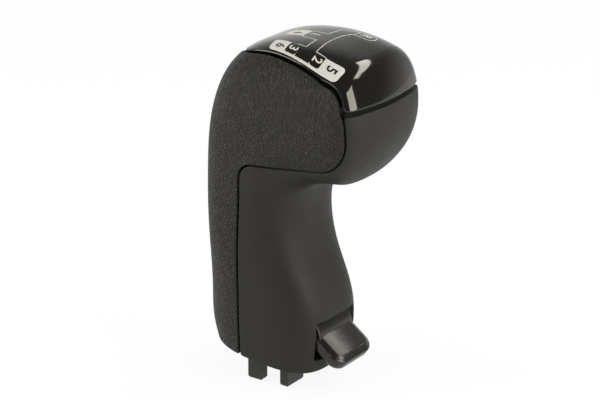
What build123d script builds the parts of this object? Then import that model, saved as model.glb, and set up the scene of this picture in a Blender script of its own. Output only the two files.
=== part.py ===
from build123d import *
import os
from math import cos, hypot, pi, radians, sin, sqrt

# Gear shift knob of a heavy vehicle, with a flip-up range tab at its foot.
# Frame: origin at the mouth of the lever bore, +Z up the neck, -Y towards the
# nose and the range tab, X across the knob. All sizes are in millimetres.

# Outer form: stations from the foot, up the neck and round the chin to the nose.
# Each gives the front point (Y, Z), the rear point (Y, Z), the half width and
# how square the front and the rear of the section are.
STATIONS = (
    ((-24.0, -0.8), (26.4, 4.0), 20.5, 3.4, 2.3),
    ((-26.0, 12.0), (28.0, 13.0), 21.2, 3.4, 2.5),
    ((-25.0, 26.0), (27.7, 26.0), 21.6, 3.3, 2.65),
    ((-18.2, 43.0), (27.6, 43.0), 22.2, 3.1, 2.7),
    ((-14.6, 58.0), (27.4, 60.0), 23.0, 3.0, 2.8),
    ((-15.4, 68.5), (26.0, 82.0), 24.4, 2.9, 2.9),
    ((-18.6, 74.0), (21.8, 105.0), 26.2, 2.8, 3.1),
    ((-24.0, 76.6), (9.8, 125.0), 27.0, 2.8, 3.4),
    ((-30.5, 78.0), (-12.0, 132.0), 27.2, 2.8, 3.6),
    ((-41.0, 79.8), (-34.0, 130.4), 26.8, 2.8, 3.6),
    ((-58.0, 83.4), (-58.0, 121.4), 25.0, 2.8, 3.4),
)
QUADRANT_STEPS = 5

# Nose wall: crowned in plan and in side view, with a rounded rim
nose_y = -50.5
nose_z = 106.0
nose_plan_r = 80.0
nose_side_r = 36.0
nose_half_height = 29.5
nose_round = 9.5

# Walls and reveals of the three outer pieces
wall = 2.6
seam_gap = 0.5
cap_gap = 0.8
nose_gap = 1.4
nose_gap_z = 112.0

# Side view of the rear grip: bowed strip seam and the flag under the head
strip_foot_y = 7.4
strip_mid = (6.6, 48.0)
strip_bow_r = 300.0
strip_top_y = 2.9
flag_rear_z = 84.8
flag_mid = (-24.0, 86.1)
flag_bow_r = 200.0
flag_front_z = 88.2
flag_front_y = -45.2
flag_rear_round = 8.0
flag_front_round = 11.0
head_top = 140.0

# Edge of the top cap: plan (X, Y) of one side back to the middle, and side view (Y, Z) of its front
CAP_PLAN = (
    (28.0, -48.0),
    (24.0, -36.5),
    (21.6, -20.0),
    (18.9, -7.0),
    (15.2, 4.5),
    (8.6, 9.6),
    (0.0, 10.8),
)
CAP_SIDE = (
    (-45.2, 111.0),
    (-44.7, 115.2),
    (-42.5, 119.2),
    (-37.5, 122.4),
    (-29.0, 124.0),
    (-15.0, 122.0),
    (10.0, 116.0),
)

# Lever sleeve and the tube that holds it
bore_r = 8.0
sleeve_wall = 1.8
sleeve_length = 48.0
sleeve_fit = 0.03
sleeve_chamfer = 0.8
tube_wall = 1.57
tube_cap = 3.0

# Base plate and the feet under it: each foot's X and Y middle, width and depth
plate = 3.2
plate_fit = 0.25
foot_drop = 9.0
foot_round = 1.5
FEET = ((14.0, 2.5, 4.0, 6.4), (9.75, -10.9, 10.5, 3.8))

# Range tab and its pivot
pivot_y = -15.5
pivot_z = 12.6
pin_r = 1.5
pin_fit = 0.05
pin_head_r = 2.2
pin_head = 0.8
pin_groove = 0.35
hub_r = 3.4
drum_r = 9.9
drum_end = 118.0
drum_start = -3.0
drum_gap = 0.5
tab_half_width = 12.1
tab_tilt = 36.0
tab_length = 13.8
tab_thickness = 6.4
tab_root = (-25.0, 14.2)
tab_inner = 4.0
tab_corner_r = 5.5
tab_edge_r = 1.8
dish_r = 30.0
dish_depth = 0.8
dish_centre = 6.8
tab_travel = 25.0
washer = 0.5
washer_r = 3.0
washer_fit = 0.1
cheek = 2.0
cheek_r = 3.1
cheek_leg = 1.1
pocket_bottom_z = 4.6
pocket_top_z = 20.3
pocket_side_gap = 0.6
pocket_round = 1.2
clip_thick = 0.6
clip_r = 2.4
clip_mouth = 2.0

# Switch worked by the ramp on the tab's drum
plunger_travel = 2.4
plunger_r = 1.3
plunger_tip_round = 0.8
plunger_fit = 0.08
plunger_flange_r = 2.4
plunger_flange = 1.2
plunger_spigot_r = 1.1
plunger_spigot = 1.0
cam_gap = 0.5
switch_half_width = 9.0
switch_z = 24.2
switch_height = 8.8
switch_front_y = -19.2
switch_rear_y = -11.8
switch_wall = 1.0
switch_cavity_half = 4.6
switch_lid = 1.4
lid_setback = 0.6
spring_r = 1.7
spring_wire_r = 0.25
spring_turns = 5
blade_x = 3.4
blade_width = 2.2
blade_thick = 0.5
blade_length = 7.5
blade_depth = 1.5

# Spine in the head and the crown plate that carries the cap
spine_half = 8.0
spine_wall = 2.5
spine_rear_y = 12.0
spine_nose_y = -30.0
crown_z = 109.5
crown = 5.0

# Screws
screw_r = 1.3
screw_fit = 0.06
screw_head_r = 2.5
screw_head = 1.8
small_screw_r = 1.0
small_head_r = 1.9
small_head = 1.2
boss_wall = 1.5
boss_depth = 8.0
grip_screw_x = 14.0
grip_screw_z = (24.0, 64.0)
ear_rear_y = (8.0, 11.0)
ear = 3.0
ear_half_height = 4.0
base_screw_x = 14.4
base_screw_y = -4.0
base_boss_top = 22.0
cap_screw_x = 12.0
cap_screw_y = (-28.0, -6.0)
switch_screw_x = 6.8
switch_screw_length = 10.0

# Places that follow from the sizes above
sleeve_r = bore_r + sleeve_wall
tube_r = sleeve_r + sleeve_fit + tube_wall
tube_top = sleeve_length + tube_cap
boss_r = screw_r + boss_wall
nose_axis = Axis((0, nose_y + nose_plan_r, 0), (0, 0, 1))
tilt = radians(tab_tilt)
tab_out = (0, -cos(tilt), -sin(tilt))
tab_up = (0, -sin(tilt), cos(tilt))
tab_plane = Plane(origin=(0, *tab_root), x_dir=tab_out, z_dir=tab_up)
cheek_inner_x = tab_half_width + washer + washer_fit
cheek_outer_x = cheek_inner_x + cheek
pocket_half_width = tab_half_width + pocket_side_gap
ramp_low_r = drum_r - plunger_travel
plunger_tip_z = pivot_z + ramp_low_r + cam_gap
switch_floor_z = switch_z + switch_wall
switch_top_z = switch_z + switch_height
switch_mid_y = (switch_front_y + switch_rear_y) / 2
crown_top_z = crown_z + crown
sides = (-1, 1)
grip_screws_at = [(side * grip_screw_x, y, z) for y, z in zip(ear_rear_y, grip_screw_z) for side in sides]
cap_screws_at = [(side * cap_screw_x, y) for y in cap_screw_y for side in sides]
base_mid_y = (STATIONS[0][0][0] + STATIONS[0][1][0]) / 2
base_screws_at = [(side * base_screw_x, base_screw_y - base_mid_y) for side in sides]
switch_screws_at = [(side * switch_screw_x, switch_z + switch_height / 2) for side in sides]
switch_screw_depth = switch_front_y + switch_screw_length - switch_rear_y + screw_fit
reach = 100.0


def section_plane(front, rear):
    """Plane of a station, with its own Y from the front point to the rear one."""
    middle = ((front[0] + rear[0]) / 2, (front[1] + rear[1]) / 2)
    return Plane(origin=(0, *middle), x_dir=(1, 0, 0), z_dir=(0, front[1] - rear[1], rear[0] - front[0]))


base_plane = section_plane(STATIONS[0][0], STATIONS[0][1])


def quadrant(half_width, half_depth, square):
    """Points of a superellipse quarter, from the flank to the crown."""
    turn = [step * pi / 2 / QUADRANT_STEPS for step in range(1, QUADRANT_STEPS)]
    curve = [(half_width * cos(t) ** (2 / square), half_depth * sin(t) ** (2 / square)) for t in turn]
    return [(half_width, 0)] + curve + [(0, half_depth)]


def section_outline(station, inset):
    """Closed outline of one station, set in from the outer form."""
    front, rear, half_width, front_square, rear_square = station
    half_depth = hypot(rear[0] - front[0], rear[1] - front[1]) / 2 - inset
    for side_y, square in ((1, rear_square), (-1, front_square)):
        right = [(x, side_y * y) for x, y in quadrant(half_width - inset, half_depth, square)]
        left = [(-x, y) for x, y in right]
        Spline(*right, tangents=[(0, side_y), (-1, 0)])
        Spline(*left[::-1], tangents=[(-1, 0), (0, -side_y)])


def grip_form(inset):
    """The knob's whole form, set in by the same depth all round."""
    sections = []
    for station in STATIONS:
        with BuildLine() as outline:
            section_outline(station, inset)
        flat = make_face(outline.edges(), mode=Mode.PRIVATE)
        sections.append(section_plane(station[0], station[1]) * flat)
    face_y = nose_y + inset
    edge_y = face_y + nose_side_r - sqrt(nose_side_r**2 - nose_half_height**2)
    clear_y = face_y - 2 * nose_round
    low_z = nose_z - nose_half_height
    high_z = nose_z + nose_half_height
    with BuildPart() as form:
        loft(sections, clean=False)
        with BuildSketch(Plane.YZ):
            with BuildLine():
                face = ThreePointArc((edge_y, low_z), (face_y, nose_z), (edge_y, high_z))
                Polyline(face @ 1, (clear_y, high_z), (clear_y, low_z), face @ 0)
            make_face()
        revolve(axis=nose_axis, mode=Mode.SUBTRACT, clean=False)
        rim = form.faces().filter_by(GeomType.TORUS).edges()
        fillet(rim, nose_round - inset)
    return form.part


def grip_area(margin):
    """Side view of the rear grip up to the top of the head, grown by the margin."""
    with BuildSketch(Plane.YZ) as area:
        with BuildLine():
            seam = FilletPolyline(
                (strip_foot_y, -2 * foot_drop),
                strip_mid,
                (strip_top_y, flag_rear_z),
                flag_mid,
                (flag_front_y, flag_front_z),
                (flag_front_y, head_top),
                radius=(strip_bow_r, flag_rear_round, flag_bow_r, flag_front_round),
            )
            Polyline(seam @ 1, (reach, head_top), (reach, -2 * foot_drop), seam @ 0)
        make_face()
        if margin:
            offset(amount=margin, kind=Kind.ARC, mode=Mode.REPLACE)
    return area.sketch


def cap_zone(margin):
    """Space the top cap takes up, bounded in plan and in side view, grown by the margin."""
    one_side = [(x + margin, y) for x, y in CAP_PLAN[:-1]]
    other_side = [(-x, y) for x, y in one_side[::-1]]
    middle = (0, CAP_PLAN[-1][1] + margin)
    brow_points = [(y + margin / sqrt(2), z - margin / sqrt(2)) for y, z in CAP_SIDE]
    with BuildPart() as zone:
        with BuildSketch(Plane.XY.offset(crown_z)):
            with BuildLine():
                edge = Spline(*one_side, middle, *other_side)
                Polyline(edge @ 1, (other_side[-1][0], -reach), (one_side[0][0], -reach), edge @ 0)
            make_face()
        extrude(amount=head_top - crown_z)
        with BuildSketch(Plane.YZ):
            with BuildLine():
                brow = Spline(*brow_points, tangents=[(0, 1), (1, -0.2)])
                Polyline(
                    brow @ 1,
                    (reach, brow_points[-1][1]),
                    (reach, 2 * head_top),
                    (-reach, 2 * head_top),
                    (-reach, flag_front_z),
                    (brow_points[0][0], flag_front_z),
                    brow @ 0,
                )
            make_face()
        extrude(amount=reach, both=True, mode=Mode.INTERSECT)
    return zone.part


def level(z):
    """Wide flat sheet at a height, to cut off what lies above or below it."""
    with BuildSketch(Plane.XY.offset(z)) as sheet:
        Rectangle(2 * reach, 2 * reach)
    return sheet.sketch


outer_form = grip_form(0)
inner_form = grip_form(wall)
half_wall_form = grip_form(wall / 2)
crown_form = grip_form(wall + plate_fit)

with BuildPart() as shell:
    add(outer_form)
    add(inner_form, mode=Mode.SUBTRACT)

# Rear grip: back of the neck and both flanks of the head, with four screw bosses
with BuildPart() as grip_bosses:
    for place in grip_screws_at:
        with BuildSketch(Plane(origin=place, x_dir=(1, 0, 0), z_dir=(0, 1, 0))):
            Circle(boss_r)
        extrude(amount=reach)
    add(half_wall_form, mode=Mode.INTERSECT)
with BuildPart() as rear_grip:
    add(shell.part)
    add(cap_zone(cap_gap), mode=Mode.SUBTRACT)
    extrude(grip_area(0), amount=reach, both=True, mode=Mode.INTERSECT)
    add(grip_bosses.part)
    for place in grip_screws_at:
        with BuildSketch(Plane(origin=place, x_dir=(1, 0, 0), z_dir=(0, 1, 0))):
            Circle(screw_r + screw_fit)
        extrude(amount=boss_depth, mode=Mode.SUBTRACT)
rear_grip.part.label = "rear_grip"

# Front shell: front of the neck and the chin, with the range tab's pocket
with BuildPart() as base_bosses:
    with BuildSketch(base_plane.offset(plate)):
        with Locations(*base_screws_at):
            Circle(boss_r)
        with Locations(*[(x + side * boss_r, y) for side, (x, y) in zip(sides, base_screws_at)]):
            Rectangle(2 * boss_r, boss_wall)
    extrude(amount=base_boss_top - plate)
    add(half_wall_form, mode=Mode.INTERSECT)
with BuildPart() as front_shell:
    add(shell.part)
    extrude(grip_area(seam_gap), amount=reach, both=True, mode=Mode.SUBTRACT)
    extrude(level(nose_gap_z - nose_gap / 2), amount=reach, mode=Mode.SUBTRACT)
    with BuildSketch(Plane.XZ.offset(-pivot_y)):
        with Locations((0, (pocket_bottom_z + pocket_top_z) / 2)):
            RectangleRounded(2 * pocket_half_width, pocket_top_z - pocket_bottom_z, pocket_round)
    extrude(amount=2 * drum_r, mode=Mode.SUBTRACT)
    with BuildSketch(Plane.YZ):
        with Locations((pivot_y, pivot_z)):
            Circle(drum_r + drum_gap)
    extrude(amount=pocket_half_width, both=True, mode=Mode.SUBTRACT)
    add(base_bosses.part)
    with BuildSketch(base_plane.offset(plate)):
        with Locations(*base_screws_at):
            Circle(screw_r + screw_fit)
    extrude(amount=boss_depth, mode=Mode.SUBTRACT)
front_shell.part.label = "front_shell"

# Top cap: glossy crown with the shift pattern, its brow closing the nose
with BuildPart() as cap_bosses:
    with BuildSketch(Plane.XY.offset(crown_top_z)):
        with Locations(*cap_screws_at):
            Circle(boss_r)
    extrude(amount=reach)
    add(half_wall_form, mode=Mode.INTERSECT)
with BuildPart() as top_cap:
    add(shell.part)
    add(cap_zone(0), mode=Mode.INTERSECT)
    extrude(level(nose_gap_z + nose_gap / 2), amount=-crown_top_z, mode=Mode.SUBTRACT)
    add(cap_bosses.part)
    with BuildSketch(Plane.XY.offset(crown_top_z)):
        with Locations(*cap_screws_at):
            Circle(screw_r + screw_fit)
    extrude(amount=boss_depth, mode=Mode.SUBTRACT)
top_cap.part.label = "top_cap"

# Carrier: base plate with its feet, lever tube, pivot cheeks, spine and crown plate
with BuildPart() as crown_plate:
    extrude(level(crown_z), amount=crown)
    add(crown_form, mode=Mode.INTERSECT)
with BuildPart() as carrier:
    with BuildSketch(base_plane):
        with BuildLine():
            section_outline(STATIONS[0], wall + plate_fit)
        make_face()
    extrude(amount=plate)
    with BuildSketch(Plane.XY.offset(-foot_drop)):
        for foot_x, foot_y, foot_width, foot_depth in FEET:
            with Locations((-foot_x, foot_y), (foot_x, foot_y)):
                Rectangle(foot_width, foot_depth)
    extrude(amount=foot_drop + plate)
    fillet(carrier.faces().sort_by(Axis.Z)[:2 * len(FEET)].edges(), foot_round)
    with BuildSketch(Plane.XY):
        Circle(tube_r)
    extrude(amount=tube_top)
    with BuildSketch(Plane.XY.offset(switch_z)):
        with Locations((0, switch_rear_y / 2)):
            Rectangle(2 * switch_half_width, -switch_rear_y)
    extrude(amount=switch_height)
    for low_x in (-cheek_outer_x, cheek_inner_x):
        with BuildSketch(Plane.YZ.offset(low_x)):
            with Locations((pivot_y, pivot_z)):
                Circle(cheek_r)
            with Locations((pivot_y + (cheek_r - cheek_leg) / 2, (pivot_z + plate / 2) / 2)):
                Rectangle(cheek_r + cheek_leg, pivot_z - plate / 2)
        extrude(amount=cheek)
    for low_x in (-spine_half, spine_half - spine_wall):
        with BuildSketch(Plane.YZ.offset(low_x)):
            with BuildLine():
                Polyline(
                    (-spine_half, tube_top),
                    (-spine_half, flag_rear_z),
                    (spine_nose_y, crown_z),
                    (spine_rear_y / 2, crown_z),
                    (spine_rear_y, flag_rear_z),
                    (spine_rear_y, tube_top + spine_wall),
                    (spine_half, tube_top),
                    close=True,
                )
            make_face()
        extrude(amount=spine_wall)
    for ear_y, ear_z, root_x in zip(ear_rear_y, grip_screw_z, (bore_r, spine_half - spine_wall)):
        with BuildSketch(Plane.XZ.offset(-ear_y)):
            for side in sides:
                with Locations((side * (root_x + grip_screw_x + boss_r) / 2, ear_z)):
                    RectangleRounded(grip_screw_x + boss_r - root_x, 2 * ear_half_height, boss_wall)
        extrude(amount=ear)
    add(crown_plate.part)
    with BuildSketch(Plane.XY):
        Circle(sleeve_r + sleeve_fit)
    extrude(amount=sleeve_length, mode=Mode.SUBTRACT)
    with BuildSketch(Plane.YZ):
        with Locations((pivot_y, pivot_z)):
            Circle(pin_r + pin_fit)
    extrude(amount=cheek_outer_x, both=True, mode=Mode.SUBTRACT)
    with BuildSketch(Plane.XZ.offset(-ear_rear_y[-1])):
        with Locations(*[(x, z) for x, y, z in grip_screws_at]):
            Circle(screw_r + screw_fit)
    extrude(amount=ear_rear_y[-1] - ear_rear_y[0] + ear, mode=Mode.SUBTRACT)
    with BuildSketch(base_plane):
        with Locations(*base_screws_at):
            Circle(screw_head_r + screw_fit)
    extrude(amount=screw_head, mode=Mode.SUBTRACT)
    with BuildSketch(base_plane):
        with Locations(*base_screws_at):
            Circle(screw_r + screw_fit)
    extrude(amount=plate, mode=Mode.SUBTRACT)
    with BuildSketch(Plane.XY.offset(crown_z)):
        with Locations(*cap_screws_at):
            Circle(screw_r + screw_fit)
    extrude(amount=crown, mode=Mode.SUBTRACT)
    with BuildSketch(Plane.XZ.offset(-switch_rear_y)):
        with Locations(*switch_screws_at):
            Circle(small_screw_r + screw_fit)
    extrude(amount=-switch_screw_depth, mode=Mode.SUBTRACT)
carrier.part.label = "carrier"

# Lever sleeve: plain steel tube, chamfered at the mouth
with BuildPart() as lever_sleeve:
    with BuildSketch(Plane.XY):
        Circle(sleeve_r)
        Circle(bore_r, mode=Mode.SUBTRACT)
    extrude(amount=sleeve_length)
    mouth = lever_sleeve.edges().group_by(Axis.Z)[0]
    chamfer(mouth.sort_by(SortBy.RADIUS)[-1], sleeve_chamfer)
lever_sleeve.part.label = "lever_sleeve"


def drum_point(angle, radius):
    """Point round the pivot, the angle counted from straight up towards the nose."""
    return (pivot_y - radius * sin(radians(angle)), pivot_z + radius * cos(radians(angle)))


# Range tab: paddle, drum with the switch ramp, and hub on the pivot pin
with BuildPart() as paddle:
    with BuildSketch(tab_plane) as paddle_plan:
        with Locations(((tab_length - tab_inner) / 2, 0)):
            Rectangle(tab_length + tab_inner, 2 * tab_half_width)
        fillet(paddle_plan.vertices().sort_by(Axis.X)[-2:], tab_corner_r)
    extrude(amount=-tab_thickness)
    flats = paddle.faces().filter_by(tab_plane)
    fillet(flats.edges(), tab_edge_r)
with BuildPart() as range_tab:
    ramp_shares = (0, 0.25, 0.5, 0.75, 1)
    ramp_points = [drum_point(step * tab_travel, ramp_low_r + step * plunger_travel) for step in ramp_shares]
    with BuildSketch(Plane.YZ.offset(-tab_half_width)):
        with BuildLine():
            dwell = Line(drum_point(drum_start, ramp_low_r), ramp_points[0])
            Spline(*ramp_points)
            rim_middle = drum_point((tab_travel + drum_end) / 2, drum_r)
            rim = ThreePointArc(ramp_points[-1], rim_middle, drum_point(drum_end, drum_r))
            Polyline(rim @ 1, (pivot_y, pivot_z), dwell @ 0)
        make_face()
        with Locations((pivot_y, pivot_z)):
            Circle(hub_r)
    extrude(amount=2 * tab_half_width)
    add(paddle.part)
    with Locations(tab_plane):
        with Locations((dish_centre, 0, dish_r - dish_depth)):
            Sphere(dish_r, mode=Mode.SUBTRACT)
    with BuildSketch(Plane.YZ):
        with Locations((pivot_y, pivot_z)):
            Circle(pin_r + pin_fit)
    extrude(amount=tab_half_width, both=True, mode=Mode.SUBTRACT)
range_tab.part.label = "range_tab"

# Pivot pin with a head at one end and a clip groove at the other
pin_end_x = cheek_outer_x + 2 * clip_thick
with BuildPart() as pivot_pin:
    with BuildSketch(Plane.YZ.offset(-cheek_outer_x - pin_head)):
        with Locations((pivot_y, pivot_z)):
            Circle(pin_head_r)
    extrude(amount=pin_head)
    with BuildSketch(Plane.YZ.offset(-cheek_outer_x)):
        with Locations((pivot_y, pivot_z)):
            Circle(pin_r)
    extrude(amount=cheek_outer_x + pin_end_x)
    with BuildSketch(Plane.YZ.offset(cheek_outer_x)):
        with Locations((pivot_y, pivot_z)):
            Circle(pin_head_r)
            Circle(pin_r - pin_groove, mode=Mode.SUBTRACT)
    extrude(amount=clip_thick, mode=Mode.SUBTRACT)
pivot_pin.part.label = "pivot_pin"

with BuildPart() as pin_clip:
    with BuildSketch(Plane.YZ.offset(cheek_outer_x)):
        with Locations((pivot_y, pivot_z)):
            Circle(clip_r)
            Circle(pin_r - pin_groove + pin_fit, mode=Mode.SUBTRACT)
        with Locations((pivot_y, pivot_z + clip_r)):
            Rectangle(clip_mouth, 2 * clip_r, mode=Mode.SUBTRACT)
    extrude(amount=clip_thick)
pin_clip.part.label = "pin_clip"

# Thrust washers between the tab's drum and the cheeks
with BuildPart() as pivot_washers:
    for low_x in (-cheek_inner_x, cheek_inner_x - washer):
        with BuildSketch(Plane.YZ.offset(low_x)):
            with Locations((pivot_y, pivot_z)):
                Circle(washer_r)
                Circle(pin_r + pin_fit, mode=Mode.SUBTRACT)
        extrude(amount=washer)
pivot_washers.part.label = "pivot_washers"

# Switch housing, screwed to the pad on the lever tube
with BuildPart() as switch_body:
    with BuildSketch(Plane.XY.offset(switch_z)):
        with Locations((0, switch_mid_y)):
            Rectangle(2 * switch_half_width, switch_rear_y - switch_front_y)
    extrude(amount=switch_height)
    with BuildSketch(Plane.XY.offset(switch_floor_z)):
        with Locations((0, switch_mid_y)):
            Rectangle(2 * switch_cavity_half, switch_rear_y - switch_front_y - 2 * switch_wall)
    extrude(amount=switch_height, mode=Mode.SUBTRACT)
    with BuildSketch(Plane.XY.offset(switch_z)):
        with Locations((0, pivot_y)):
            Circle(plunger_r + plunger_fit)
    extrude(amount=switch_wall, mode=Mode.SUBTRACT)
    with BuildSketch(Plane.XZ.offset(-switch_rear_y)):
        with Locations(*switch_screws_at):
            Circle(small_screw_r + screw_fit)
    extrude(amount=switch_rear_y - switch_front_y, mode=Mode.SUBTRACT)
switch_body.part.label = "switch_body"

with BuildPart() as switch_cover:
    with BuildSketch(Plane.XY.offset(switch_top_z)):
        with Locations((0, switch_mid_y + lid_setback / 2)):
            Rectangle(2 * switch_half_width, switch_rear_y - switch_front_y - lid_setback)
        with Locations(*[(side * blade_x, switch_mid_y) for side in sides]):
            Rectangle(blade_width + 2 * plunger_fit, blade_thick + 2 * plunger_fit, mode=Mode.SUBTRACT)
    extrude(amount=switch_lid)
switch_cover.part.label = "switch_cover"

with BuildPart() as switch_terminals:
    with BuildSketch(Plane.XY.offset(switch_top_z - blade_depth)):
        with Locations(*[(side * blade_x, switch_mid_y) for side in sides]):
            Rectangle(blade_width, blade_thick)
    extrude(amount=blade_length)
switch_terminals.part.label = "switch_terminals"

# Plunger that rides the drum's ramp, with its return spring under the cover
flange_z = switch_floor_z + plunger_fit
with BuildPart() as switch_plunger:
    with BuildSketch(Plane.XY.offset(plunger_tip_z)):
        with Locations((0, pivot_y)):
            Circle(plunger_r)
    extrude(amount=flange_z - plunger_tip_z)
    fillet(switch_plunger.edges().sort_by(Axis.Z)[0], plunger_tip_round)
    with BuildSketch(Plane.XY.offset(flange_z)):
        with Locations((0, pivot_y)):
            Circle(plunger_flange_r)
    extrude(amount=plunger_flange)
    with BuildSketch(Plane.XY.offset(flange_z + plunger_flange)):
        with Locations((0, pivot_y)):
            Circle(plunger_spigot_r)
    extrude(amount=plunger_spigot)
switch_plunger.part.label = "switch_plunger"

spring_foot_z = flange_z + plunger_flange + spring_wire_r + plunger_fit
spring_height = switch_top_z - spring_wire_r - plunger_fit - spring_foot_z
with BuildPart() as plunger_spring:
    with BuildLine() as coil:
        Helix(spring_height / spring_turns, spring_height, spring_r, center=(0, pivot_y, spring_foot_z))
    with BuildSketch(Plane(origin=coil.line @ 0, z_dir=coil.line % 0)):
        Circle(spring_wire_r)
    sweep()
plunger_spring.part.label = "plunger_spring"


def screw(plane, radius, head_r, head, length):
    """Pan head screw with a cross slot, its head on the plane's back side."""
    with BuildPart() as fastener:
        with BuildSketch(plane):
            Circle(radius)
        extrude(amount=length)
        with BuildSketch(plane):
            Circle(head_r)
        extrude(amount=-head)
        with BuildSketch(plane.offset(-head)):
            Rectangle(head_r, radius / 2)
            Rectangle(radius / 2, head_r)
        extrude(amount=head / 2, mode=Mode.SUBTRACT)
    return fastener.part


up_y = (0, 1, 0)
with BuildPart() as grip_screws:
    for x, y, z in grip_screws_at:
        place = Plane(origin=(x, y - ear, z), x_dir=(1, 0, 0), z_dir=up_y)
        add(screw(place, screw_r, screw_head_r, screw_head, ear + boss_depth - screw_head))
grip_screws.part.label = "grip_screws"

with BuildPart() as base_screws:
    for x, y in base_screws_at:
        seat = base_plane.from_local_coords((x, y, screw_head))
        place = Plane(origin=seat, x_dir=base_plane.x_dir, z_dir=base_plane.z_dir)
        add(screw(place, screw_r, screw_head_r, screw_head, plate - screw_head + boss_depth - screw_head))
base_screws.part.label = "base_screws"

with BuildPart() as cap_screws:
    for x, y in cap_screws_at:
        place = Plane(origin=(x, y, crown_z), x_dir=(1, 0, 0), z_dir=(0, 0, 1))
        add(screw(place, screw_r, screw_head_r, screw_head, crown + boss_depth - screw_head))
cap_screws.part.label = "cap_screws"

with BuildPart() as switch_screws:
    for x, z in switch_screws_at:
        place = Plane(origin=(x, switch_front_y, z), x_dir=(1, 0, 0), z_dir=up_y)
        add(screw(place, small_screw_r, small_head_r, small_head, switch_screw_length))
switch_screws.part.label = "switch_screws"

pieces = (
    rear_grip, front_shell, top_cap, carrier, lever_sleeve, range_tab, pivot_pin, pin_clip, pivot_washers,
    switch_body, switch_cover, switch_terminals, switch_plunger, plunger_spring,
    grip_screws, base_screws, cap_screws, switch_screws,
)
os.makedirs("parts", exist_ok=True)
for piece in pieces:
    export_step(piece.part, f"parts/{piece.part.label}.step")
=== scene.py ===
"""Looks of a gear shift knob: hide grip, matt shell, gloss cap with its shift pattern, and range tab."""

import math

import bmesh
import bpy
import numpy as np
from mathutils import Matrix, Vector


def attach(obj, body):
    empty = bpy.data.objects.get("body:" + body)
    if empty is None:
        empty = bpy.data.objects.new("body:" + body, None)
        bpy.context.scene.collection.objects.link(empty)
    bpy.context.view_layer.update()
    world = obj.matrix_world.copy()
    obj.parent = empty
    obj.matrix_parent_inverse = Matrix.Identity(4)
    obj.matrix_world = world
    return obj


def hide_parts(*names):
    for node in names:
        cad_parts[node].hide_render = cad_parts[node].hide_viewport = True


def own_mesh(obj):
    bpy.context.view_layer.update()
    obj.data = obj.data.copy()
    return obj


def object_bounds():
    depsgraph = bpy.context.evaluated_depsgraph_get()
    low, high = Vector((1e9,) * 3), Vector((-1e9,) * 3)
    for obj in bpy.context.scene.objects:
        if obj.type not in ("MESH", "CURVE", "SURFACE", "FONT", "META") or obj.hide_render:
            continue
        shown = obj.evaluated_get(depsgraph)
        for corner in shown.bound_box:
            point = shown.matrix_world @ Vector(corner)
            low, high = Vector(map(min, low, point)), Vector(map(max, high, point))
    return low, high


bl_info = {
    "name": "Shift Knob Looks",
    "version": (1, 0, 0),
    "blender": (4, 5, 0),
    "location": "View3D > Sidebar > Shift Knob",
    "description": "Dresses a packed gear shift knob with its skins, print and finishes",
    "category": "Object",
}

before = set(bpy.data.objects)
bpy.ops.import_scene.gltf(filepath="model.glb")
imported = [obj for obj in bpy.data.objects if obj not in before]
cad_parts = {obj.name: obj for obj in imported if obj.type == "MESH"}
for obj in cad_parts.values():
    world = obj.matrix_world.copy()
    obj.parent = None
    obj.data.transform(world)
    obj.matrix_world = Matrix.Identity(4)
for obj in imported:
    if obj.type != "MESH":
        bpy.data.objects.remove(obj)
cad_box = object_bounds()

# Lengths below are in millimetres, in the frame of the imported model
MM = 0.001

# Outer form, foot to nose: front point (Y, Z), rear point (Y, Z), half width, squareness front and rear
STATIONS = np.array([
    (-24.0, -0.8, 26.4, 4.0, 20.5, 3.4, 2.3),
    (-26.0, 12.0, 28.0, 13.0, 21.2, 3.4, 2.5),
    (-25.0, 26.0, 27.7, 26.0, 21.6, 3.3, 2.65),
    (-18.2, 43.0, 27.6, 43.0, 22.2, 3.1, 2.7),
    (-14.6, 58.0, 27.4, 60.0, 23.0, 3.0, 2.8),
    (-15.4, 68.5, 26.0, 82.0, 24.4, 2.9, 2.9),
    (-18.6, 74.0, 21.8, 105.0, 26.2, 2.8, 3.1),
    (-24.0, 76.6, 9.8, 125.0, 27.0, 2.8, 3.4),
    (-30.5, 78.0, -12.0, 132.0, 27.2, 2.8, 3.6),
    (-41.0, 79.8, -34.0, 130.4, 26.8, 2.8, 3.6),
    (-58.0, 83.4, -58.0, 121.4, 25.0, 2.8, 3.4),
])

# Nose wall: where it stands, its crowns in plan and side view, its reach in height, its rim, the station
# from which the body can meet it, and the middle of the gap under the cap
NOSE_Y, NOSE_Z = -50.5, 106.0
NOSE_PLAN_R, NOSE_SIDE_R, NOSE_HALF, NOSE_ROUND = 80.0, 36.0, 29.5, 9.5
NOSE_AXIS_Y = NOSE_Y + NOSE_PLAN_R
NOSE_STATION = 5
NOSE_GAP_Z = 112.3

# Seams: side view (Y, Z) of the grip's front edge, plan (X, Y) and side view (Y, Z) of the cap's edge
FLAG_CORNERS = (
    *((7.4, -18.0), (6.6, 48.0), (2.9, 84.8), (-24.0, 86.3)),
    *((-44.9, 89.2), (-44.9, 108.5), (-36.5, 140.0)),
)
FLAG_ROUNDS = (300.0, 8.0, 200.0, 14.0, 40.0)
CAP_PLAN = (
    *((28.0, -52.0), (24.7, -38.0), (22.0, -20.5), (19.5, -7.0)),
    *((16.0, 4.7), (9.0, 10.2), (0.0, 11.5)),
)
CAP_SIDE = (
    *((-44.5, 112.4), (-44.2, 114.6), (-43.4, 117.2), (-42.1, 119.7), (-40.1, 121.7)),
    *((-37.0, 123.0), (-31.0, 124.2), (-15.0, 122.0), (10.0, 116.0)),
)
# Index of the point in CAP_SIDE where the brow turns into the side edge
BROW_TURN = 4

# A distance that is outside the knob on every side, and the share of the shell's wall that lies above its lip
FAR = 100.0
LIP_SHARE = 0.9

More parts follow.
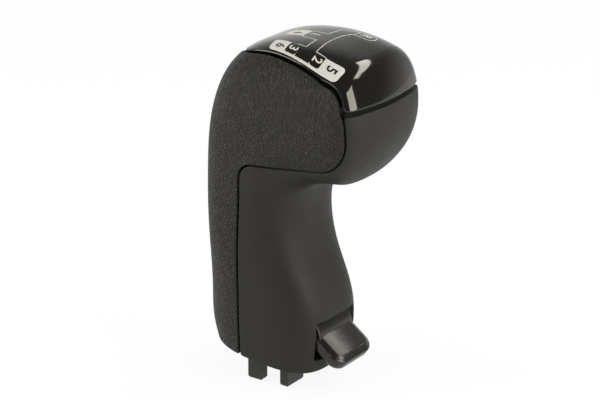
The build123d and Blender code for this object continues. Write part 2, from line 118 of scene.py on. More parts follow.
# Range tab: root of its top face and the way it points, its plan, pivot and drum, and the pocket it sits in
TAB_ROOT = np.array((0.0, -25.0, 14.2))
TAB_TILT = math.radians(36.0)
TAB_OUT = np.array((0.0, -math.cos(TAB_TILT), -math.sin(TAB_TILT)))
TAB_UP = np.array((0.0, -math.sin(TAB_TILT), math.cos(TAB_TILT)))
TAB_ACROSS = np.array((1.0, 0.0, 0.0))
TAB_HALF, TAB_INNER, TAB_OUTER, TAB_CORNER, TAB_THICK = 12.1, -4.0, 13.8, 5.5, 6.4
PIVOT_Y, PIVOT_Z = -15.5, 12.6
DRUM_R, DRUM_LOW_R, HUB_R, DRUM_INSET = 9.9, 7.5, 3.4, 0.9
POCKET_HALF, POCKET_LOW, POCKET_HIGH, POCKET_ROUND = 12.7, 4.6, 20.3, 1.2

# Return spring of the plunger: heights of its wire's ends, radius, wire and turns
COIL_FOOT, COIL_TOP = 26.81, 32.67
COIL_RADIUS, COIL_WIRE, COIL_TURNS = 1.7, 0.25, 5


def linear(code):
    """sRGB hex code as linear red, green, blue and alpha."""
    values = [int(code[i : i + 2], 16) / 255 for i in (1, 3, 5)]
    return tuple(v / 12.92 if v <= 0.04045 else ((v + 0.055) / 1.055) ** 2.4 for v in values) + (1.0,)


def colour(name, description, code):
    """A colour setting whose default is a hex code."""
    return bpy.props.FloatVectorProperty(
        name=name, description=description, subtype="COLOR", size=4, min=0, max=1, default=linear(code)
    )


def length(name, description, default):
    """A size setting in millimetres."""
    return bpy.props.FloatProperty(
        name=name, description=description + ", mm", default=default, min=0, soft_max=50
    )


class KnobSizes(bpy.types.PropertyGroup):
    """Sizes of the skins and the print, in millimetres."""

    hide_wall: length("Hide wall", "Thickness of the grip's skin", 1.75)
    shell_wall: length("Shell wall", "Thickness of the front shell", 3.0)
    cap_wall: length("Cap wall", "Thickness of the cap", 1.1)
    hide_edge: length("Hide edge", "Radius of the turned edge of the hide", 0.55)
    shell_edge: length("Shell edge", "Radius along the front shell's seams", 0.45)
    cap_edge: length("Cap edge", "Radius along the cap's rim", 0.6)
    seam_gap: length("Strip gap", "Reveal between hide and front shell", 0.75)
    cap_gap: length("Cap gap", "Reveal between hide and cap", 1.4)
    nose_gap: length("Nose gap", "Reveal between cap and front shell", 1.65)
    lip_reach: length("Lip reach", "How far a hidden lip reaches under the next skin", 2.2)
    print_lift: length("Print lift", "Height of the print above the cap", 0.05)
    gate_line: length("Gate line", "Width of the thin gate outline", 0.32)
    numeral: length("Numeral", "Height of the shift numbers", 4.0)


class KnobColours(bpy.types.PropertyGroup):
    """Colours of the finishes."""

    hide: colour("Hide", "Grained hide, mid tone", "#201e1a")
    # Painted shade: the hide's colour in the pebbles' valleys and the folds' hollows, darkened where shade
    # would fall
    hide_crease_shade: colour("Hide crease", "Grained hide in its creases", "#050504")
    shell: colour("Shell", "Matt front shell", "#23221e")
    cap: colour("Cap", "Gloss cap", "#0c0b09")
    tab: colour("Tab", "Satin range tab", "#151412")
    ink: colour("Ink", "White print", "#c6c3ba")
    floor: colour("Floor", "Studio floor", "#f4f4f3")


def sizes():
    """Size settings of the scene."""
    return bpy.context.scene.knob_sizes


def colours():
    """Colour settings of the scene."""
    return bpy.context.scene.knob_colours


def unit(vectors):
    """Vectors at length one."""
    return vectors / np.maximum(np.linalg.norm(vectors, axis=-1, keepdims=True), 1e-12)


def unit_across(vectors, normals):
    """Vectors without their part along the normals, at length one."""
    return unit(vectors - normals * (vectors * normals).sum(-1, keepdims=True))


def arc_length(points):
    """Length along a polyline at each of its points."""
    return np.r_[0, np.cumsum(np.linalg.norm(np.diff(points, axis=0), axis=1))]


def natural_spline(knots, values):
    """Second derivatives at the knots of the cubic spline through values, free at both ends."""
    step = np.diff(knots)
    count = len(knots)
    matrix = np.eye(count)
    inner = np.arange(1, count - 1)
    matrix[inner, inner - 1] = step[:-1]
    matrix[inner, inner] = 2 * (step[:-1] + step[1:])
    matrix[inner, inner + 1] = step[1:]
    slope = np.diff(values, axis=0) / step.reshape((-1,) + (1,) * (values.ndim - 1))
    right = np.zeros_like(values)
    right[1:-1] = 6 * np.diff(slope, axis=0)
    return np.linalg.solve(matrix, right.reshape(count, -1)).reshape(values.shape)


def spline_at(knots, values, bend, at):
    """Points of the cubic spline at each parameter, which may differ from column to column."""
    k = np.clip(np.searchsorted(knots, at, side="right") - 1, 0, len(knots) - 2)
    step = knots[k + 1] - knots[k]
    a = (knots[k + 1] - at) / step
    b = 1 - a
    column = np.arange(values.shape[1]) if at.ndim == 2 else slice(None)
    pick = (k, column) if at.ndim == 2 else k
    after = (k + 1, column) if at.ndim == 2 else k + 1
    shape = at.shape + (1,) * (values[pick].ndim - at.ndim)
    a, b, step = a.reshape(shape), b.reshape(shape), step.reshape(shape)
    curve = (a**3 - a) * bend[pick] + (b**3 - b) * bend[after]
    return a * values[pick] + b * values[after] + curve * step**2 / 6


def curve_points(points, count):
    """Points spread along a smooth curve through the given ones, by chord length."""
    points = np.array(points, float)
    knots = arc_length(points)
    return spline_at(knots, points, natural_spline(knots, points), np.linspace(0, knots[-1], count))


def station_outlines(around):
    """Superellipse |x/w|^n + |t/h|^n = 1 of every station, at angles counted from the +X flank."""
    front_y, front_z, rear_y, rear_z, width, square_front, square_rear = STATIONS.T[:, :, None]
    cos, sin = np.cos(around)[None], np.sin(around)[None]
    power = 2 / np.where(sin >= 0, square_rear, square_front)
    half = np.hypot(rear_y - front_y, rear_z - front_z) / 2
    x = width * np.sign(cos) * np.abs(cos) ** power
    t = np.sign(sin) * np.abs(sin) ** power * half
    y = (front_y + rear_y) / 2 + t * (rear_y - front_y) / (2 * half)
    z = (front_z + rear_z) / 2 + t * (rear_z - front_z) / (2 * half)
    return np.stack([x, y, z], -1)


def nose_radius(z):
    """Distance of the crowned nose wall from its upright axis, at a height."""
    return NOSE_PLAN_R - NOSE_SIDE_R + np.sqrt(np.maximum(NOSE_SIDE_R**2 - (z - NOSE_Z) ** 2, 0))


def nose_point(angle, z):
    """Point of the nose wall at an angle from straight ahead and a height."""
    radius = nose_radius(z)
    return np.stack([radius * np.sin(angle), NOSE_AXIS_Y - radius * np.cos(angle), z], -1)


def knob_skin(columns=256, body_rows=230, rim_rows=18, wall_rows=26, search_rows=1600):
    """Whole outer skin as a grid of rows from the foot to the nose's middle, with its normals.

    A column runs up the lofted body, turns over the nose's rim on a circular arc, and
    goes in along the crowned nose wall to one shared middle point.
    """
    around = np.arange(columns) * 2 * np.pi / columns
    outlines = station_outlines(around)
    knots = arc_length((STATIONS[:, 0:2] + STATIONS[:, 2:4]) / 2)
    bend = natural_spline(knots, outlines)
    fine = np.linspace(0, knots[-1], search_rows)
    dense = spline_at(knots, outlines, bend, fine)
    inside = nose_radius(dense[..., 2]) - np.hypot(dense[..., 0], dense[..., 1] - NOSE_AXIS_Y)
    inside[np.abs(dense[..., 2] - NOSE_Z) > NOSE_HALF] = FAR
    inside[fine < knots[NOSE_STATION]] = FAR
    row = np.argmax(inside < 0, axis=0)
    column = np.arange(columns)
    share = inside[row - 1, column] / (inside[row - 1, column] - inside[row, column])
    crossing = fine[row - 1] + share * (fine[row] - fine[row - 1])
    back_step, inner_share = 0.5, 0.96
    rim = spline_at(knots, outlines, bend, crossing[None, :])[0]
    back = spline_at(knots, outlines, bend, crossing[None, :] - back_step)[0]
    along = unit(np.roll(rim, -1, 0) - np.roll(rim, 1, 0))
    upward = unit(rim - back)
    across = unit_across(upward, along)
    angle = np.arctan2(rim[:, 0], NOSE_AXIS_Y - rim[:, 1])
    target = nose_point(angle * inner_share, NOSE_Z + (rim[:, 2] - NOSE_Z) * inner_share)
    inward = unit_across(unit(target - rim), along)
    corner = np.arccos(np.clip(-(across * inward).sum(-1), -1, 1))
    leg = NOSE_ROUND / np.tan(corner / 2)
    speed = np.linalg.norm(rim - back, axis=-1) / back_step
    start = crossing - leg / (speed * np.maximum((upward * across).sum(-1), 0.5))
    body = spline_at(knots, outlines, bend, np.linspace(0, 1, body_rows)[:, None] * start[None, :])
    wall_start = rim + inward * leg[:, None]
    start_angle = np.arctan2(wall_start[:, 0], NOSE_AXIS_Y - wall_start[:, 1])
    wall_start = nose_point(start_angle, wall_start[:, 2])
    t = np.linspace(0, 1, rim_rows + 2)[1:-1, None, None]
    blend = (1 - t) ** 2, 2 * t * (1 - t) * np.sin(corner / 2)[None, :, None], t**2
    arc = (blend[0] * body[-1] + blend[1] * rim + blend[2] * wall_start) / sum(blend)
    left = np.linspace(1, 0, wall_rows)[:, None]
    face = nose_point(start_angle * left, NOSE_Z + (wall_start[:, 2] - NOSE_Z) * left)
    points = np.concatenate([body, arc, face])
    around_step = np.roll(points, -1, 1) - np.roll(points, 1, 1)
    normals = unit(np.cross(around_step, np.gradient(points, axis=0)))
    normals[-1] = (0, -1, 0)
    return points, normals


def grid_triangles(rows, columns):
    """Triangles of a grid that closes on itself from column to column and meets in one point at its end."""
    i, j = np.meshgrid(np.arange(rows - 1), np.arange(columns), indexing="ij")
    a, b = i * columns + j, i * columns + (j + 1) % columns
    last = (rows - 1) * columns
    c, d = np.minimum(a + columns, last), np.minimum(b + columns, last)
    triangles = np.concatenate([np.stack(t, -1).reshape(-1, 3) for t in ((a, b, d), (a, d, c))])
    return triangles[triangles[:, 1] != triangles[:, 2]]


def fillet_path(corners, rounds, steps=16):
    """Polyline whose inner corners are circular arcs of the given radii."""
    corners = np.array(corners, float)
    points = [corners[:1]]
    for before, corner, after, radius in zip(corners, corners[1:], corners[2:], rounds):
        one, two = unit(before - corner), unit(after - corner)
        half = math.acos(float(np.clip(one @ two, -1, 1))) / 2
        centre = corner + unit(one + two) * radius / math.sin(half)
        first, last = (corner + way * radius / math.tan(half) for way in (one, two))
        t = np.linspace(0, 1, steps)[:, None]
        points.append(centre + unit((first - centre) * (1 - t) + (last - centre) * t) * radius)
    return np.concatenate([*points, corners[-1:]])


def inside_distance(outline, first, second):
    """Signed distance of points to a closed outline, positive inside it, and the way in which it grows."""
    point = np.stack([first, second], -1).reshape(-1, 1, 2)
    edge = np.roll(outline, -1, 0) - outline
    share = np.clip(((point - outline) * edge).sum(-1) / np.maximum((edge**2).sum(-1), 1e-12), 0, 1)
    away = point - outline - share[..., None] * edge
    reach = (away**2).sum(-1)
    nearest = reach.argmin(1)
    row = np.arange(len(nearest))
    low, high = outline[:, 1] <= point[..., 1], (outline + edge)[:, 1] <= point[..., 1]
    height = np.where(edge[:, 1] == 0, 1.0, edge[:, 1])
    cross = outline[:, 0] + (point[..., 1] - outline[:, 1]) / height * edge[:, 0]
    sign = np.where(((low != high) & (cross > point[..., 0])).sum(1) % 2 == 1, 1.0, -1.0)
    distance = np.sqrt(reach[row, nearest])
    grow = away[row, nearest] * (sign / np.maximum(distance, 1e-9))[:, None]
    shape = np.shape(first)
    return (sign * distance).reshape(shape), grow.reshape(shape + (2,))


def grip_outline():
    """Side view of the rear grip: strip seam, flag and its front, closed behind the knob."""
    seam = fillet_path(FLAG_CORNERS, FLAG_ROUNDS)
    return np.concatenate([seam, [(FAR, seam[-1, 1]), (FAR, seam[0, 1])]])


def cap_outlines():
    """Plan of the cap and side view of its brow, each closed far outside the knob."""
    plan = np.concatenate([CAP_PLAN, [(-x, y) for x, y in CAP_PLAN[-2::-1]]])
    side = CAP_PLAN[0][0]
    plan = np.concatenate([curve_points(plan, 90), [(-side, -FAR), (side, -FAR)]])
    brow = curve_points(CAP_SIDE, 60)
    above = 2 * FAR
    brow = np.concatenate([brow, [(FAR, brow[-1, 1]), (FAR, above), (-FAR, above), (-FAR, brow[0, 1])]])
    return plan, brow


GRIP = grip_outline()
CAP, BROW = cap_outlines()


def along_skin(outline, p, n, axes):
    """Distance inside an outline drawn in a flat view, measured along the skin.

    It is the flat distance divided by how fast that grows along the skin, where the
    skin leans away from the view by the part of the normal that lies in it.
    """
    signed, grow = inside_distance(outline, p[..., axes[0]], p[..., axes[1]])
    lean = (grow * n[..., list(axes)]).sum(-1)
    least_growth = 0.3
    return signed / np.sqrt(np.maximum(1 - lean**2, least_growth**2))


def cap_depth(p, n):
    """Distance inside the cap's edge, which is bounded in plan and in side view."""
    return np.minimum(along_skin(CAP, p, n, (0, 1)), along_skin(BROW, p, n, (1, 2)))


def foot_height(p):
    """Height above the foot's tilted plane, which is the first station."""
    front = STATIONS[0, 0:2]
    along = unit(STATIONS[0, 2:4] - front)
    return (p[..., 2] - front[1]) * along[0] - (p[..., 1] - front[0]) * along[1]


def pocket_depth(p):
    """Distance inside the range tab's pocket, a rounded rectangle in front view."""
    dx = np.abs(p[..., 0]) - POCKET_HALF + POCKET_ROUND
    dz = np.abs(p[..., 2] - (POCKET_LOW + POCKET_HIGH) / 2) - (POCKET_HIGH - POCKET_LOW) / 2 + POCKET_ROUND
    outside = np.hypot(np.maximum(dx, 0), np.maximum(dz, 0)) + np.minimum(np.maximum(dx, dz), 0)
    return np.where(p[..., 1] < PIVOT_Y, POCKET_ROUND - outside, -FAR)


def hide_bounds(p, n):
    """Distances inside the rear grip: off the cap's edge, behind the grip's front edge, above the foot."""
    off_cap = -cap_depth(p, n) - sizes().cap_gap
    return np.stack([off_cap, along_skin(GRIP, p, n, (1, 2)), foot_height(p)], -1)


def shell_bounds(p, n):
    """Distances inside the front shell: off the grip, below the nose gap, off the pocket, above the foot."""
    off_grip = -along_skin(GRIP, p, n, (1, 2)) - sizes().seam_gap
    below = NOSE_GAP_Z - sizes().nose_gap / 2 - p[..., 2]
    return np.stack([off_grip, below, -pocket_depth(p), foot_height(p)], -1)


def cap_bounds(p, n):
    """Distances inside the top cap: within its edge and above the nose gap."""
    return np.stack([cap_depth(p, n), p[..., 2] - NOSE_GAP_Z - sizes().nose_gap / 2], -1)


def clip_skin(points, normals, triangles, bounds, margin, halvings=14):
    """Part of a skin that lies more than a margin inside its bounds, cut by bisecting the grid's edges."""
    inside = bounds(points, normals).min(-1) > margin
    count = inside[triangles].sum(1)
    whole = triangles[count == 3]
    cut = triangles[(count == 1) | (count == 2)]
    lone = np.where(inside[cut].sum(1, keepdims=True) == 1, inside[cut], ~inside[cut])
    turn = (np.argmax(lone, 1)[:, None] + np.arange(3)) % 3
    cut = np.take_along_axis(cut, turn, 1)
    pairs = np.concatenate([cut[:, [0, 1]], cut[:, [0, 2]]])
    edges, where = np.unique(np.sort(pairs, 1), axis=0, return_inverse=True)
    where = where.reshape(-1)
    flip = inside[edges[:, 0]]
    low = np.where(flip, edges[:, 0], edges[:, 1])
    high = np.where(flip, edges[:, 1], edges[:, 0])

    def between(values, share):
        """Values at a share of the way along each cut edge."""
        return values[low] + (values[high] - values[low]) * share

    near, far = np.zeros((len(edges), 1)), np.ones((len(edges), 1))
    for _ in range(halvings):
        middle = (near + far) / 2
        at, facing = between(points, middle), unit(between(normals, middle))
        keep = bounds(at, facing).min(-1, keepdims=True) > margin
        near, far = np.where(keep, middle, near), np.where(keep, far, middle)
    new_points, new_normals = between(points, near), unit(between(normals, near))
    first, second = len(points) + where[: len(cut)], len(points) + where[len(cut) :]
    one = inside[cut[:, 0]]
    two = ~one
    tips = np.stack([cut[one, 0], first[one], second[one]], -1)
    left = np.stack([first[two], cut[two, 1], cut[two, 2]], -1)
    right = np.stack([first[two], cut[two, 2], second[two]], -1)
    used, index = np.unique(np.concatenate([whole, tips, left, right]), return_inverse=True)
    points = np.concatenate([points, new_points])[used]
    normals = np.concatenate([normals, new_normals])[used]
    return points, normals, index.reshape(-1, 3)


def open_edges(triangles):
    """Directed edges that only one triangle has."""
    edges = np.concatenate([triangles[:, [0, 1]], triangles[:, [1, 2]], triangles[:, [2, 0]]])
    size = triangles.max() + 1
    key, back = edges[:, 0] * size + edges[:, 1], edges[:, 1] * size + edges[:, 0]
    return edges[~np.isin(key, back)]


def skin_solid(skin, bounds, edge_round, wall, lipped=0, steps=5, probe=0.05):
    """Closed wall of one skin piece: clipped outside, edge rolled on a quarter circle, inside at wall depth.

    Along the first few bounds, as many as lipped says, the lowest part of the edge steps
    out as a lip under the next skin, and tapers away where another bound is near.
    """
    points, normals, faces = clip_skin(
        skin[0].reshape(-1, 3), skin[1].reshape(-1, 3), grid_triangles(*skin[0].shape[:2]), bounds, edge_round
    )
    edges = open_edges(faces)
    border = np.unique(edges)
    p, n = points[border], normals[border]
    slope = np.stack([(bounds(p + d, n) - bounds(p - d, n)).T for d in np.eye(3) * probe], -1)
    inside = bounds(p, n)
    slope = slope[inside.argmin(-1), np.arange(len(p))]
    outward = -unit_across(slope, n)
    turn = np.linspace(0, np.pi / 2, steps + 1)[1:]
    rows = [p + outward * edge_round * math.sin(t) - n * edge_round * (1 - math.cos(t)) for t in turn]
    side = p + outward * edge_round
    if lipped:
        room = inside[:, lipped:].min(-1) - edge_round
        reach = np.clip(room / sizes().lip_reach, 0.01, 1.0)[:, None] * sizes().lip_reach
        rows += [side - n * wall * LIP_SHARE, side + outward * reach - n * wall * LIP_SHARE]
        side = side + outward * reach
    rows.append(side - n * wall)
    total = len(points)
    chain = [border, *[2 * total + k * len(border) + np.arange(len(border)) for k in range(len(rows))]]
    chain.append(total + border)
    place = np.full(total, -1)
    place[border] = np.arange(len(border))
    a, b = place[edges[:, 0]], place[edges[:, 1]]
    quads = [np.stack([u[b], u[a], v[a], v[b]], -1) for u, v in zip(chain[:-1], chain[1:])]
    return np.concatenate([points, points - normals * wall, *rows]), [faces, faces[:, ::-1] + total, *quads]


def new_object(name, data):
    """Object of some data, linked into the scene."""
    thing = bpy.data.objects.new(name, data)
    bpy.context.scene.collection.objects.link(thing)
    return thing


def make_piece(name, solid, material, body, slot, *nodes):
    """Smooth mesh object from points in millimetres and sets of faces, on a body in place of CAD nodes."""
    points, face_sets = solid
    mesh = bpy.data.meshes.new(name)
    mesh.from_pydata(points * MM, [], [face for faces in face_sets for face in faces.tolist()])
    mesh.shade_smooth()
    mesh.materials.append(material)
    piece = new_object(name, mesh)
    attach(piece, body)
    if nodes:
        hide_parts(*nodes)
    return piece


def join_solids(solids):
    """Points and face sets of several solids as one."""
    start = np.cumsum([0] + [len(points) for points, _ in solids])
    face_sets = [faces + first for first, (_, sets) in zip(start, solids) for faces in sets]
    return np.concatenate([points for points, _ in solids]), face_sets


def stack_rings(first, rings, last):
    """Closed solid of a first point, stacked rings and a last point: two fans and bands of quads."""
    count, columns = rings.shape[:2]
    j = np.arange(columns)
    k = (j + 1) % columns
    end = count * columns + 1
    first_fan = np.stack([np.zeros_like(j), 1 + k, 1 + j], -1)
    last_fan = np.stack([np.full_like(j, end), end - columns + j, end - columns + k], -1)
    row = 1 + np.arange(count - 1)[:, None] * columns
    quads = np.stack([row + j, row + k, row + columns + k, row + columns + j], -1).reshape(-1, 4)
    return np.concatenate([first[None], rings.reshape(-1, 3), last[None]]), [first_fan, last_fan, quads]


def paddle_ring(inset, steps=14):
    """Plan of the tab's paddle, set in, as (out, across): a rectangle whose two outer corners are arcs."""
    half, inner, outer = TAB_HALF - inset, TAB_INNER + inset, TAB_OUTER - inset
    least_corner, on_side, on_front, on_back = 0.6, 18, 24, 20
    corner = max(TAB_CORNER - inset, least_corner)
    turn = np.linspace(0, np.pi / 2, steps)
    arc = np.stack([outer - corner + corner * np.sin(turn), half - corner + corner * np.cos(turn)], -1)
    side = np.stack([np.linspace(inner, outer - corner, on_side, endpoint=False), np.full(on_side, half)], -1)
    front = np.linspace(half - corner, corner - half, on_front + 2)[1:-1]
    front = np.stack([np.full(on_front, outer), front], -1)
    back = np.stack([np.full(on_back, inner), np.linspace(-half, half, on_back + 2)[1:-1]], -1)
    mirror = np.array((1, -1))
    return np.concatenate([side, arc, front, arc[::-1] * mirror, side[::-1] * mirror, back])


def tab_paddle():
    """Paddle of the range tab: round underside, upright side, chamfered rim, sloped shoulder, crowned pad.

    Each ring is the plan set in by some depth at some height; the pad's rings shrink to
    its middle, and rise by a parabola across that fades out at both ends by a sixth power.
    """
    belly, crown, tip, middle = 2.4, 0.65, 0.002, np.array((6.2, 0.0))
    turn = np.linspace(0, np.pi / 2, 7)
    under = [(belly * (1 - math.sin(t)), belly * (1 - math.cos(t)) - TAB_THICK) for t in turn]
    rim = [(0.0, -1.68), (0.03, -1.6), (0.27, -1.12), (0.36, -1.03)]
    shoulder = [(0.9, -0.8), (1.5, -0.52), (2.0, -0.2), (2.25, -0.04), (2.5, 0.02), (2.8, -0.03)]
    steps = under + rim + shoulder
    plans = [paddle_ring(inset) for inset, _ in steps]
    floor_plans = [middle + (plans[0] - middle) * share for share in (0.3, 0.65)]
    pad_shares = np.linspace(0.95, 0.08, 14)
    pad_plans = np.array([middle + (plans[-1] - middle) * share for share in pad_shares])
    rim_plan = np.abs(plans[-1] - middle).max(0)
    outward, across = np.moveaxis((pad_plans - middle) / rim_plan, -1, 0)
    pad_heights = steps[-1][1] + crown * (1 - outward**6) * (1 - across**2)
    plan = np.concatenate([floor_plans, plans, pad_plans])
    levels = np.r_[[-TAB_THICK] * 2, [level for _, level in steps]]
    height = np.concatenate([np.repeat(levels[:, None], plan.shape[1], 1), pad_heights])[..., None]
    rings = TAB_ROOT + plan[..., :1] * TAB_OUT + plan[..., 1:] * TAB_ACROSS + height * TAB_UP
    bottom = TAB_ROOT + middle[0] * TAB_OUT - TAB_THICK * TAB_UP
    top = TAB_ROOT + middle[0] * TAB_OUT + (pad_heights.max() + tip) * TAB_UP
    return stack_rings(bottom, rings, top)


def tab_drum():
    """Drum of the range tab: radius round the pivot by angle, carried across between rounded ends.

    From the hub the radius steps up to the switch ramp, climbs it, stays at full height
    over the drum's face, and steps back to the hub.
    """
    angles = (-3.2, -3.0, 0.0, 25.0, 118.0, 118.2, 356.0)
    radii = (HUB_R, DRUM_LOW_R, DRUM_LOW_R, DRUM_R, DRUM_R, HUB_R, HUB_R)
    degrees = np.unique(np.r_[angles, np.linspace(-3, 118, 96), np.linspace(122, 352, 60)])
    angle, radius = np.radians(degrees), np.interp(degrees, angles, radii)
    edge = 0.5
    half = TAB_HALF - DRUM_INSET
    turn = np.linspace(0, np.pi / 2, 5)
    end, dip = half - edge * (1 - np.sin(turn)), edge * (1 - np.cos(turn))
    place = np.r_[-end[::-1], np.linspace(edge - half, half - edge, 12)[1:-1], end]
    reach = radius - np.r_[dip[::-1], np.zeros(10), dip][:, None]
    y, z = PIVOT_Y - reach * np.sin(angle), PIVOT_Z + reach * np.cos(angle)
    rings = np.stack([np.broadcast_to(place[:, None], y.shape), y, z], -1)
    return stack_rings(np.array((-half, PIVOT_Y, PIVOT_Z)), rings, np.array((half, PIVOT_Y, PIVOT_Z)))


def return_coil(around=14, along=180):
    """Spring of round wire: rings of the wire's radius across a helix that climbs evenly with its turn."""
    share = np.linspace(0, 1, along + 1)
    turn = math.tau * COIL_TURNS * share
    flat = np.zeros(along + 1)
    out = np.stack([np.cos(turn), np.sin(turn), flat], -1)
    climb = (COIL_TOP - COIL_FOOT) / (math.tau * COIL_TURNS)
    run = unit(np.stack([-COIL_RADIUS * np.sin(turn), COIL_RADIUS * np.cos(turn), flat + climb], -1))
    wire = np.array((0, PIVOT_Y, COIL_FOOT)) + out * COIL_RADIUS
    wire[:, 2] += (COIL_TOP - COIL_FOOT) * share
    angle = math.tau * np.arange(around) / around
    across = np.cross(run, out)
    spokes = out[:, None] * np.cos(angle)[:, None] + across[:, None] * np.sin(angle)[:, None]
    return stack_rings(wire[0], wire[:, None] + spokes * COIL_WIRE, wire[-1])


def crown_points():
    """Points and normals of the skin's top, where the print lies."""
    points, normals = (part.reshape(-1, 3) for part in knob_skin())
    top = (points[:, 2] > NOSE_GAP_Z) & (normals[:, 2] > 0.05)
    return points[top], normals[top]


def nearest(crown, p):
    """Crown point and normal nearest to each point, by as many axes as the points have."""
    parts = np.array_split(p, len(p) // 400 + 1)
    known = crown[0][:, : p.shape[1]]
    index = np.concatenate([((part[:, None] - known) ** 2).sum(-1).argmin(1) for part in parts])
    return crown[0][index], crown[1][index]


def lift(crown, plan, height):
    """Plan points (X, Y) raised onto the crown's tangent planes, and out from them by a height."""
    base, normal = nearest(crown, plan)
    drop = ((plan - base[:, :2]) * normal[:, :2]).sum(-1) / normal[:, 2]
    return np.column_stack([plan, base[:, 2] - drop]) + normal * height


def settle(crown, p):
    """Points moved straight onto the crown's nearest tangent planes, with the normals there."""
    base, normal = nearest(crown, p)
    return p - normal * ((p - base) * normal).sum(-1, keepdims=True), normal


# Print along the cap's near edge, by arc length from the middle of its rear: the band's lower edge
# as (arc length, depth in from the cap's edge), its lean, and how deep the cells and the strip are
BAND_LOW = np.array(((30.4, 1.5), (42.4, 1.15), (53.0, 0.85), (58.0, 1.15), (63.3, 2.4), (65.0, 3.0)))
BAND_LEAN = 0.28
BAND_DEEP = 7.1
STRIP_DEEP = 1.15
CELL_ROUND, BOX_ROUND = 1.8, 1.2
CELL_6, BOX_3, BOX_2, CELL_5 = (30.4, 38.1), (38.1, 43.7), (51.0, 56.0), (56.0, 64.6)
# Rest of the print in plan: corners of the 4's cell as (-Y, X), and the gate's lines as (X, Y)
CELL_4 = (3.6, -4.4), (12.2, 2.6)
GATE = (
    ((-13.1, -16.1), (-13.9, -20.6), (-6.4, -20.0), (-5.8, -14.0), (-4.4, -12.2)),
    (
        *((2.6, -12.2), (2.2, -19.4), (9.6, -20.0), (13.4, -26.6), (14.6, -31.4), (13.6, -33.6)),
        *((11.6, -34.3), (9.4, -33.8), (8.5, -32.4), (8.4, -26.2), (5.4, -24.9), (1.2, -24.4)),
        *((-3.1, -24.4), (-7.2, -24.8), (-11.4, -25.5), (-15.2, -26.0), (-16.6, -31.3)),
    ),
    ((8.4, -26.6), (13.3, -26.6)),
)
# Numbers by their place in the band or in plan; those on white cells are black
BAND_NUMBERS = ("6", 34.9, 3.3), ("3", 41.3, 4.2), ("2", 53.6, 4.3), ("5", 60.6, 3.8)
PLAN_NUMBERS = ("4", -0.9, -8.0), ("1", -0.9, -15.6), ("R", 11.3, -30.2)
ON_WHITE = "456"


def band_point(crown, band, height, steps=8):
    """Points of the print band, given as (arc length, depth above its lower edge).

    Each starts on the cap's edge and walks inward over the crown in short steps, turning
    its direction to stay on the surface.
    """
    line = curve_points(CAP_PLAN, 400)[::-1]
    line = line[line[:, 1] > CAP_SIDE[BROW_TURN][0]] * (-1, 1)
    edge = lift(crown, line, 0.0)
    arc = arc_length(edge)
    low = spline_at(BAND_LOW[:, 0], BAND_LOW[:, 1], natural_spline(*BAND_LOW.T), band[:, 0])
    depth = low + band[:, 1]
    along = band[:, 0] - BAND_LEAN * depth
    before, start, after = (
        np.stack([np.interp(along + d, arc, axis) for axis in edge.T], -1) for d in (-0.4, 0.0, 0.4)
    )
    p, n = settle(crown, start)
    inward = unit(np.cross(n, after - before))
    for _ in range(steps):
        p, n = settle(crown, p + inward * (depth / steps)[:, None])
        inward = unit_across(inward, n)
    return p + n * height


def rounded_patch(low, high, rounds, count=24):
    """Grid over a rectangle whose four corners are arcs: each row's ends follow the outline.

    rounds are the radii at (low, low), (low, high), (high, low) and (high, high).
    """
    a = low[0] + (high[0] - low[0]) * (1 - np.cos(np.linspace(0, np.pi, count))) / 2
    near, far = np.full(count, low[1]), np.full(count, high[1])
    for edge, sign, radii in ((near, 1, rounds[0::2]), (far, -1, rounds[1::2])):
        for radius, distance in zip(radii, (a - low[0], high[0] - a)):
            gap = np.clip(radius - distance, 0, radius)
            edge += sign * (radius - np.sqrt(radius**2 - gap**2))
    b = near[:, None] + (far - near)[:, None] * np.linspace(0, 1, count)
    return np.stack([np.broadcast_to(a[:, None], b.shape), b], -1)


def grid_quads(rows, columns):
    """Quads of an open grid."""
    i, j = np.meshgrid(np.arange(rows - 1), np.arange(columns - 1), indexing="ij")
    a = (i * columns + j).ravel()
    return np.stack([a, a + 1, a + columns + 1, a + columns], -1)


def ribbon(points, width, step=0.4):
    """Grid of two rows along straight plan runs, half the width to each side, mitred at the corners."""
    points = np.asarray(points, float)
    arc = arc_length(points)
    at = np.unique(np.r_[arc, np.arange(0, arc[-1], step)])
    path = np.stack([np.interp(at, arc, axis) for axis in points.T], -1)
    ahead = unit(np.diff(path, axis=0))
    before, after = np.vstack([ahead[:1], ahead]), np.vstack([ahead, ahead[-1:]])
    middle = unit(before + after)
    half = width / 2 / np.maximum((middle * after).sum(-1, keepdims=True), 0.4)
    side = np.stack([-middle[:, 1], middle[:, 0]], -1) * half
    return np.stack([path - side, path + side])


def numeral_shape(text, height):
    """Face of a digit or letter of the built-in font, bold and centred, as flat points and triangles."""
    font_share, bold_share = 0.7, 0.02
    curve = bpy.data.curves.new("numeral", "FONT")
    curve.body = text
    curve.size = height / font_share
    curve.offset = height * bold_share
    curve.resolution_u = 4
    letter = new_object("numeral", curve)
    bpy.context.view_layer.update()
    edit = bmesh.new()
    edit.from_mesh(letter.to_mesh())
    bmesh.ops.triangulate(edit, faces=edit.faces)
    bmesh.ops.subdivide_edges(edit, edges=edit.edges, cuts=1, use_grid_fill=True)
    bmesh.ops.triangulate(edit, faces=edit.faces)
    edit.verts.index_update()
    points = np.array([vertex.co[:2] for vertex in edit.verts])
    faces = np.array([[vertex.index for vertex in face.verts] for face in edit.faces])
    edit.free()
    bpy.data.objects.remove(letter)
    bpy.data.curves.remove(curve)
    return points - (points.min(0) + points.max(0)) / 2, faces


def face_up(mesh):
    """Turn every face of the print to look upwards."""
    edit = bmesh.new()
    edit.from_mesh(mesh)
    edit.normal_update()
    bmesh.ops.reverse_faces(edit, faces=[face for face in edit.faces if face.normal.z < 0])
    edit.to_mesh(mesh)
    edit.free()


